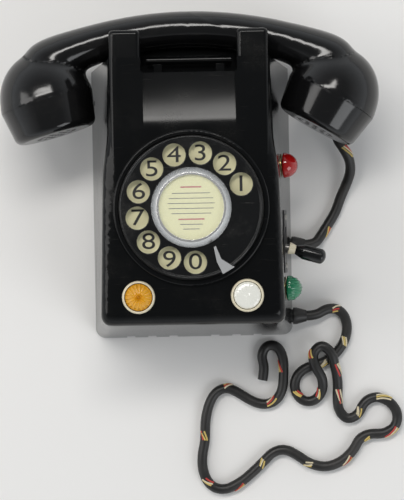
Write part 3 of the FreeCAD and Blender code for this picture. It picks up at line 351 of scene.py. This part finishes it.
# what shows: each model node's finish and how far its edges are eased
dressed = {
    "case_shell": ("case", 0.0006), "base_plate": ("back", 0.0003), "case_screws": ("steel", 0.0003),
    "dial_cup": ("inner", 0.0002), "number_plate": ("enamel", 0.0002), "finger_wheel": ("wheel", 0.0006),
    "card_ring": ("bright", 0.00012), "dial_card": ("card", 0.0), "finger_stop": ("chrome", 0.0004),
    "amber_lamp_ring": ("ring", 0.0003), "white_lamp_ring": ("ring", 0.0003),
    "lever_shank": ("steel", 0.0002), "lever_collar": ("ring", 0.0003), "lever_knob": ("wheel", 0.0003),
    "key_escutcheon": ("back", 0.0002), "escutcheon_screws": ("steel", 0.0), "hook_bar": ("case", 0.0004),
    "hook_yoke": ("case", 0.0002), "hook_guide": ("inner", 0.0002), "handset_body": ("handset", 0.0),
    "earpiece_cap": ("handset", 0.0004), "mouthpiece_cap": ("handset", 0.0004),
    "handset_bush": ("rubber", 0.0002), "handset_cord_gland": ("rubber", 0.0002),
    "line_cord_gland": ("rubber", 0.0002),
}
finished = {}
for nodeName, (key, edge) in dressed.items():
    finished[nodeName] = softCopy(nodeName, finish[key], edge)
    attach(finished[nodeName], bodyOf[nodeName])

# the front's edges stand out over the side walls below the horns
flare = {
    "out": 0.0022, "zStart": 0.05, "zEnd": 0.086, "yStart": 0.024, "yEnd": -0.004,
    "xStart": 0.0436, "xEnd": 0.046,
    "levels": (0.05, 0.056, 0.062, 0.068, 0.074, 0.08),
    "rows": (0.024, 0.0193, 0.0147, 0.01, 0.0053, 0.0007, -0.004),
}
shell = finished["case_shell"]
pick(shell)
bpy.ops.object.mode_set(mode="EDIT")
cuts = [((0, 0, z), (0, 0, 1)) for z in flare["levels"]] + [((0, y, 0), (0, 1, 0)) for y in flare["rows"]]
for onPlane, normal in cuts:
    bpy.ops.mesh.select_all(action="SELECT")
    bpy.ops.mesh.bisect(plane_co=onPlane, plane_no=normal)
bpy.ops.object.mode_set(mode="OBJECT")
for vertex in shell.data.vertices:
    out = flare["out"] * ease(vertex.co.z, flare["zStart"], flare["zEnd"])
    out *= ease(vertex.co.y, flare["yStart"], flare["yEnd"])
    out *= ease(abs(vertex.co.x), flare["xStart"], flare["xEnd"])
    vertex.co.x += math.copysign(out, vertex.co.x)
smoothShade(shell, copyWork["smoothAngle"])
evenNormals(shell)

# the grip flows into the cups: its creases are eased, and the rims at the caps stay
flow = {
    "voxel": 0.0009, "repeat": 40, "keep": 0.003, "smoothAngle": 50.0,
    "ear": {"centre": (-0.082, 0.0436, 0.05), "tilt": 15.5},
    "mouth": {"centre": (0.08142, 0.0434, 0.05), "tilt": -30.0},
}


def pastSeam(point):
    # how far a point lies past the rim of the cup on its own side
    end = flow["mouth" if point.x > 0 else "ear"]
    tilt = math.radians(end["tilt"])
    return (point - Vector(end["centre"])).dot(Vector((math.sin(tilt), -math.cos(tilt), 0)))


grip = finished["handset_body"]
pick(grip)
grip.data.remesh_voxel_size = flow["voxel"]
bpy.ops.object.voxel_remesh()
bpy.ops.object.mode_set(mode="EDIT")
bpy.ops.mesh.select_mode(type="VERT")
bpy.ops.mesh.select_all(action="DESELECT")
bpy.ops.object.mode_set(mode="OBJECT")
for vertex in grip.data.vertices:
    vertex.select = pastSeam(vertex.co) < -flow["keep"]
bpy.ops.object.mode_set(mode="EDIT")
bpy.ops.mesh.vertices_smooth(factor=0.5, repeat=flow["repeat"])
smoothShade(grip, flow["smoothAngle"])
paint(grip, finish["handset"])

# what lies inside keeps the model's own mesh
plainFinish = {
    "dial_shaft": "steel", "dial_gear": "brass", "shaft_bush": "brass", "governor_can": "steel",
    "key_frame": "steel", "key_pin": "steel", "key_springs": "brass", "key_clamp": "inner",
    "hook_contacts": "brass", "gong_left": "brass", "gong_right": "brass", "gong_post_left": "steel",
    "gong_post_right": "steel", "ringer_frame": "steel", "ringer_coil_left": "winding",
    "ringer_coil_right": "winding", "clapper_post": "steel", "clapper": "steel", "capacitor": "steel",
    "induction_coil": "winding", "terminal_block": "board", "terminal_screws": "brass",
    "receiver_unit": "inner", "transmitter_unit": "inner",
}
for colour in ("amber", "white", "red", "green"):
    plainFinish[colour + "_socket"] = "brass"
    paint(nodes[colour + "_bulb"], bulbGlass)
for nodeName, key in plainFinish.items():
    paint(nodes[nodeName], finish[key])

pane = {"foot": 0.00005, "lift": 0.00012}
windowPane = softCopy("card_window", windowGlass)
paneFloor = min(vertex.co.z for vertex in windowPane.data.vertices)
for vertex in windowPane.data.vertices:
    if vertex.co.z < paneFloor + pane["foot"]:
        vertex.co.z += pane["lift"]  # the pane clears the card
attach(windowPane, bodyOf["card_window"])
print("model nodes finished:", len(dressed) + len(plainFinish))

# ribbed lenses
lens = {
    "segments": 72, "rings": 32, "rib": {"spokes": 0.16, "faint": 0.03}, "ribWide": 4, "bars": 26,
    "barDepth": 0.05, "flatFoot": 0.02, "fit": 0.985, "lift": 1.05, "smoothAngle": 60.0,
}


def ribHeight(point, radius, pattern):
    if pattern in lens["rib"]:
        spoke = round(math.atan2(point.y, point.x) / math.tau * lens["segments"])
        return 1 + lens["rib"][pattern] * (0 if spoke % lens["ribWide"] < lens["ribWide"] / 2 else -1)
    if pattern == "bars":
        return 1.0 + lens["barDepth"] * math.sin(point.x / radius * lens["bars"])
    return 1.0


def lensDome(name, nodeName, centre, axis, radius, rise, flange, material, pattern):
    bpy.ops.mesh.primitive_uv_sphere_add(segments=lens["segments"], ring_count=lens["rings"], radius=radius)
    piece = bpy.context.object
    pick(piece)
    bpy.ops.object.mode_set(mode="EDIT")
    bpy.ops.mesh.select_all(action="SELECT")
    bpy.ops.mesh.bisect(plane_co=(0, 0, 0), plane_no=(0, 0, 1), use_fill=True, clear_inner=True)
    bpy.ops.mesh.extrude_region_move(TRANSFORM_OT_translate={"value": (0, 0, -flange * radius / rise)})
    bpy.ops.object.mode_set(mode="OBJECT")
    for vertex in piece.data.vertices:
        if vertex.co.z > radius * lens["flatFoot"]:
            grow = ribHeight(vertex.co, radius, pattern)
            vertex.co.x *= min(grow, 1.0)
            vertex.co.y *= min(grow, 1.0)
            vertex.co.z *= grow
    useModifier(piece, "SUBSURF", levels=1, render_levels=1)
    piece.scale = (lens["fit"], lens["fit"], rise / radius / lens["lift"])
    piece.rotation_mode = "QUATERNION"
    piece.rotation_quaternion = axis.to_track_quat("Z", "Y")
    piece.location = centre
    settle(piece, name)
    smoothShade(piece, lens["smoothAngle"])
    paint(piece, material)
    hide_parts(nodeName)
    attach(piece, "set")


frontLamp = {"seat": 0.0012, "flange": 0.001}
for name, nodeName, key, pattern in (("amberCrown", "amber_lens", "amber", "spokes"),
                                     ("whiteCrown", "white_lens", "opal", "faint")):
    low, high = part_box(nodeName)
    seat = Vector(((low[0] + high[0]) / 2, (low[1] + high[1]) / 2, low[2] + frontLamp["seat"]))
    rise = high[2] - low[2] - frontLamp["seat"]
    lensDome(name, nodeName, seat, Vector((0, 0, 1)), (high[0] - low[0]) / 2, rise, frontLamp["flange"],
             finish[key], pattern)

# the right wall of the case, in metres, and the two lamps on it
wall = {
    "back": 0.059, "frontLow": 0.049, "frontMiddle": 0.04675, "narrows": 0.0045, "lowY": -0.084,
    "run": 0.1488, "deep": 0.088,
}
sideLamp = {
    "height": 0.045, "rise": 0.0096, "flange": 0.0015, "gap": 0.00015, "spare": 0.0001, "greenY": -0.066,
    "redY": 0.005,
}


def wallX(y, z):
    front = wall["frontLow"] - wall["narrows"] * (y - wall["lowY"]) / wall["run"]
    return wall["back"] - (wall["back"] - front) * z / wall["deep"]


draft = math.atan((wall["back"] - wall["frontMiddle"]) / wall["deep"])
sideOut = Vector((math.cos(draft), 0, math.sin(draft)))
for name, nodeName, key, y, pattern in (("greenCrown", "green_jewel", "green", sideLamp["greenY"], "bars"),
                                        ("redCrown", "red_jewel", "red", sideLamp["redY"], "plain")):
    low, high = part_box(nodeName)
    onWall = Vector((wallX(y, sideLamp["height"]), y, sideLamp["height"]))
    seat = onWall + sideOut * (sideLamp["gap"] + sideLamp["flange"] + sideLamp["spare"])
    rise = sideLamp["rise"] - sideLamp["flange"] - 2 * sideLamp["spare"]
    lensDome(name, nodeName, seat, sideOut, (high[1] - low[1]) / 2, rise, sideLamp["flange"],
             finish[key], pattern)
print("lenses made")

# digits on the number plate
digits = {
    "ring": 0.0305, "first": 24.0, "step": 27.7, "size": 0.01274, "wide": 1.3, "thick": 0.00006,
    "lift": 0.09042,
}
dialCentre = Vector((0, -0.0193, 0))
digitPieces = []
for index in range(10):
    angle = math.radians(digits["first"] + digits["step"] * index)
    figure = (index + 1) % 10
    deselect()
    bpy.ops.object.text_add(location=(0, 0, 0))
    words = bpy.context.object
    words.data.body = str(6 if figure == 9 else figure)  # a nine is a six turned round
    words.data.align_x = "CENTER"
    words.data.align_y = "CENTER"
    words.data.size = digits["size"]
    words.data.extrude = digits["thick"]
    pick(words)
    bpy.ops.object.convert(target="MESH")
    words = bpy.context.object
    words.scale = (digits["wide"], 1, 1)
    words.rotation_euler = (0, 0, math.pi if figure == 9 else 0)
    onRing = Vector((digits["ring"] * math.cos(angle), digits["ring"] * math.sin(angle), digits["lift"]))
    words.location = dialCentre + onRing
    digitPieces.append(settle(words, f"digit_{index}"))
dialDigits = joinAll(digitPieces, "dialDigits")
paint(dialDigits, finish["ink"])
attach(dialDigits, "set")
print("digits made")

# blank ruled card under the window: how far up each rule lies, half its length, and whether it is red
card = {
    "top": 0.0978, "thick": 0.00005, "red": 0.00085, "black": 0.00042, "edge": 0.00001,
    "rows": [(0.0112, 0.0058, 1), (0.0078, 0.0105, 0), (0.005, 0.0122, 0), (0.0022, 0.013, 0),
             (-0.0006, 0.0125, 0), (-0.0034, 0.011, 0), (-0.0066, 0.0072, 1), (-0.0094, 0.0062, 0),
             (-0.012, 0.0045, 0)],
}
ruled = {0: [], 1: []}
for offset, half, isRed in card["rows"]:
    deselect()
    middle = (0, dialCentre.y + offset, card["top"] + card["thick"] / 2)
    bpy.ops.mesh.primitive_cube_add(size=1, location=middle)
    rule = bpy.context.object
    rule.scale = (2 * half, card["red"] if isRed else card["black"], card["thick"])
    ruled[isRed].append(settle(rule, "rule"))
for isRed, name in ((0, "cardRules"), (1, "cardHeads")):
    rules = joinAll(ruled[isRed], name)
    useModifier(rules, "BEVEL", width=card["edge"], segments=1)
    paint(rules, finish["redInk" if isRed else "ink"])
    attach(rules, "dial")
print("card made")

# cords: each route's points, in millimetres, are the spline's control points
handsetRoute = [
    (86.0, 28.0, 17.5), (86.0, 22.0, 17.5), (90.5, 15.5, 16.8), (94.3, 9.0, 13.8), (95.0, 1.5, 9.2),
    (92.0, -6.5, 5.0), (88.6, -14.0, 3.4), (86.0, -21.5, 3.1), (81.8, -28.4, 3.1), (77.3, -35.0, 3.6),
    (73.0, -41.0, 6.0), (67.08, -41.0, 6.0),
]
lineRoute = [
    (67.17, -83.4, 6.0), (72.8, -83.4, 6.0), (79.2, -79.6, 4.2), (85.8, -79.4, 3.1), (90.6, -84.4, 3.1),
    (91.8, -92.0, 3.1), (89.5, -100.3, 3.1), (83.3, -108.0, 3.1), (74.9, -112.6, 3.1), (66.4, -114.3, 3.1),
    (60.4, -119.5, 3.1), (59.0, -127.3, 3.1), (63.1, -134.3, 3.1), (70.2, -135.3, 3.1), (75.7, -130.0, 4.0),
    (76.4, -121.6, 8.2), (71.6, -113.8, 10.2), (69.8, -106.2, 9.8), (75.2, -100.4, 9.6),
    (81.6, -105.0, 10.2), (83.8, -115.2, 7.2), (85.4, -123.6, 3.6), (84.9, -132.0, 3.1),
    (85.2, -140.2, 3.1), (90.2, -146.4, 3.1), (97.2, -143.6, 3.1), (100.6, -135.9, 3.1),
    (107.4, -132.4, 3.1), (115.8, -135.3, 3.1), (121.0, -142.3, 3.1), (120.0, -150.6, 3.1),
    (112.4, -155.3, 3.1), (104.0, -154.7, 3.1), (97.4, -157.6, 3.1), (94.2, -164.5, 3.1),
    (86.9, -171.3, 3.1), (77.3, -174.7, 3.1), (67.7, -172.4, 3.1), (60.6, -167.2, 3.1), (53.5, -163.2, 3.1),
    (46.3, -164.2, 3.1), (40.2, -170.1, 3.1), (33.5, -176.6, 3.1), (25.6, -183.0, 3.1), (15.9, -187.3, 3.1),
    (7.6, -184.4, 3.1), (3.5, -176.0, 3.1), (3.1, -166.4, 3.1), (5.4, -156.8, 3.1), (5.3, -147.2, 3.1),
    (7.3, -136.5, 3.1), (11.7, -128.2, 3.1), (18.9, -125.3, 3.1), (26.6, -129.4, 3.1), (33.7, -134.2, 3.1),
    (41.4, -136.6, 3.1), (48.5, -134.0, 3.1), (52.3, -127.3, 3.1), (53.0, -117.7, 3.1), (53.2, -108.4, 3.1),
    (49.6, -101.2, 3.1), (43.0, -100.6, 3.1), (39.6, -107.0, 3.1), (41.8, -114.4, 3.1), (40.2, -121.6, 3.1),
]
cord = {
    "radius": 0.003, "resolution": 6, "roundness": 5, "firstSplit": 0.016, "lastSplit": 0.02,
    "splitEvery": 0.026, "splitSpread": (0.6, 1.4), "handsetSplits": [0.012, 0.066],
}
core = {
    "length": 0.0065, "lengthSpread": (0.6, 1.35), "radius": 0.00052, "proud": 0.00285, "points": 7,
    "resolution": 2, "roundness": 2, "colours": [0, 0, 1, 2, 2], "together": 3, "firstTurn": (0.5, 2.2),
    "apart": 0.42, "twist": (0.5, 1.3),
}
coreFinish = [
    handled("coreYellow", (0.62, 0.47, 0.14), (0.25, 0.17, 0.06),
            wear=0.6, scratches=0.4, gloss=0.6, dull=0.85, bump=0.3),
    handled("coreRed", (0.5, 0.04, 0.035), (0.2, 0.03, 0.02),
            wear=0.5, scratches=0.4, gloss=0.6, dull=0.85, bump=0.3),
    handled("coreCream", (0.68, 0.6, 0.42), (0.32, 0.24, 0.14),
            wear=0.6, scratches=0.4, gloss=0.65, dull=0.9, bump=0.3),
]


def nurbsTube(name, points, look):
    deselect()
    bpy.ops.curve.primitive_nurbs_path_add(location=(0, 0, 0))
    piece = bpy.context.object
    piece.name = name
    piece.data.splines.clear()
    spline = piece.data.splines.new("NURBS")
    spline.points.add(len(points) - 1)
    for point, place in zip(spline.points, points):
        point.co = (*place, 1)
    spline.order_u = 3
    spline.use_endpoint_u = True
    spline.resolution_u = look["resolution"]
    piece.data.dimensions = "3D"
    piece.data.bevel_depth = look["radius"]
    piece.data.bevel_resolution = look["roundness"]
    piece.data.use_fill_caps = True
    return piece


def layCord(name, route):
    piece = nurbsTube(name, [[c / 1000 for c in place] for place in route], cord)
    paint(piece, finish["rubber"])
    return piece


def readLine(piece):
    # the cord's own centreline, as points
    bevel = piece.data.bevel_depth
    piece.data.bevel_depth = 0
    bpy.context.view_layer.update()
    evaluated = piece.evaluated_get(bpy.context.evaluated_depsgraph_get())
    mesh = bpy.data.meshes.new_from_object(evaluated)
    points = [vertex.co.copy() for vertex in mesh.vertices]
    bpy.data.meshes.remove(mesh)
    piece.data.bevel_depth = bevel
    return points


def runLength(points):
    return sum((b - a).length for a, b in zip(points, points[1:]))


def placeAt(points, distance):
    for a, b in zip(points, points[1:]):
        step = (b - a).length
        if distance <= step:
            return a.lerp(b, distance / step), (b - a).normalized()
        distance -= step
    return points[-1].copy(), (points[-1] - points[-2]).normalized()


def corePoints(points, start, length, turnStart, turnEnd):
    # one core's way along the jacket, turning a little round it
    made = []
    for index in range(core["points"]):
        share = index / (core["points"] - 1)
        centre, ahead = placeAt(points, start + length * share)
        side = ahead.cross(Vector((0, 0, 1))).normalized()
        over = side.cross(ahead).normalized()
        angle = turnStart + (turnEnd - turnStart) * share
        made.append(centre + (side * math.cos(angle) + over * math.sin(angle)) * core["proud"])
    return made


def bareCores(prefix, points, splits, carry):
    # coloured cores that show where the old jacket has split
    bundles = {0: [], 1: [], 2: []}
    for start in splits:
        length = core["length"] * random.uniform(*core["lengthSpread"])
        colours = random.sample(core["colours"], core["together"])
        base = random.uniform(*core["firstTurn"])
        for index, colour in enumerate(colours):
            turn = base + index * core["apart"]
            route = corePoints(points, start, length, turn, turn + random.uniform(*core["twist"]))
            pick(nurbsTube("core", route, core))
            bpy.ops.object.convert(target="MESH")
            bundles[colour].append(bpy.context.object)
    made = []
    for colour, cores in bundles.items():
        if not cores:
            continue
        piece = joinAll(cores, prefix + ("Yellow", "Red", "Cream")[colour])
        bpy.ops.object.shade_smooth()
        paint(piece, coreFinish[colour])
        carry(piece)
        made.append(piece)
    return made


def carryUp(piece):
    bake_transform(piece)


lineCord = layCord("lineCord", lineRoute)
linePoints = readLine(lineCord)
lineLength = runLength(linePoints)
lineSplits = []
place = cord["firstSplit"]
while place < lineLength - cord["lastSplit"]:
    lineSplits.append(place)
    place += cord["splitEvery"] * random.uniform(*cord["splitSpread"])
lineCores = bareCores("lineCore", linePoints, lineSplits, lambda piece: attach(piece, "set"))
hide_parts("line_cord")
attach(lineCord, "set")

handsetCord = layCord("handsetCord", handsetRoute)
handsetPoints = readLine(handsetCord)
handsetCores = bareCores("handsetCore", handsetPoints, cord["handsetSplits"], carryUp)
pick(handsetCord)
bpy.ops.object.convert(target="MESH")
handsetCord = bpy.context.object
bpy.ops.object.shade_smooth()
carryUp(handsetCord)
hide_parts("handset_cord")

# table, light and camera
stage = {"floorColour": (0.86, 0.85, 0.835), "size": 4.0, "below": 0.0002}
deselect()
bpy.ops.mesh.primitive_plane_add(size=stage["size"], location=(0, 0, -stage["below"]))
tableTop = bpy.context.object
tableTop.name = "tableTop"
paint(tableTop, newMaterial("paleTable", stage["floorColour"], Roughness=0.6))

# a bright horizon round a darker zenith
sky = {"low": (0.8, 0.83, 0.86, 1), "high": (0.13, 0.135, 0.14, 1), "from": 0.1, "to": 0.82, "strength": 1.1}
world = bpy.data.worlds.new("studioWorld")
bpy.context.scene.world = world
world.use_nodes = True
skyTree = world.node_tree
direction = addNode(skyTree, "ShaderNodeTexCoord")
parts = addNode(skyTree, "ShaderNodeSeparateXYZ")
skyTree.links.new(direction.outputs["Generated"], parts.inputs[0])
height = ramp(skyTree, parts.outputs["Z"], sky["from"], sky["to"])
background = skyTree.nodes["Background"]
skyTree.links.new(mixColour(skyTree, height, sky["low"], sky["high"]), background.inputs["Color"])
background.inputs["Strength"].default_value = sky["strength"]

lamps = {
    "overheadPanel": {"place": (-0.22, 0.6, 1.4), "size": (1.1, 0.28), "power": 11.0, "aim": (0, 0, 0.05),
                      "colour": (1.0, 0.98, 0.95)},
    "sidePanel": {"place": (-1.1, 0.1, 1.0), "size": (0.6, 0.8), "power": 4.2, "aim": (0, 0, 0.05),
                  "colour": (1.0, 0.98, 0.96)},
    "fillPanel": {"place": (0.9, -0.8, 1.1), "size": (0.8, 0.8), "power": 5.5, "aim": (0, 0, 0.03),
                  "colour": (0.96, 0.98, 1.0)},
}
for name, lamp in lamps.items():
    bpy.ops.object.light_add(type="AREA", location=lamp["place"])
    light = bpy.context.object
    light.name = name
    light.data.shape = "RECTANGLE"
    light.data.size, light.data.size_y = lamp["size"]
    light.data.energy = lamp["power"]
    light.data.color = lamp["colour"]
    light.rotation_euler = (Vector(lamp["aim"]) - Vector(lamp["place"])).to_track_quat("-Z", "Y").to_euler()

view = {"place": (0.0055, -0.043, 1.2), "turn": -1.1, "lens": 95.9, "sensor": 24.0}
bpy.ops.object.camera_add(location=view["place"], rotation=(0, 0, math.radians(view["turn"])))
camera = bpy.context.object
camera.data.sensor_fit = "VERTICAL"
camera.data.sensor_height = view["sensor"]
camera.data.lens = view["lens"]
bpy.context.scene.camera = camera
bpy.context.scene.view_settings.view_transform = "Standard"
print("stage set")
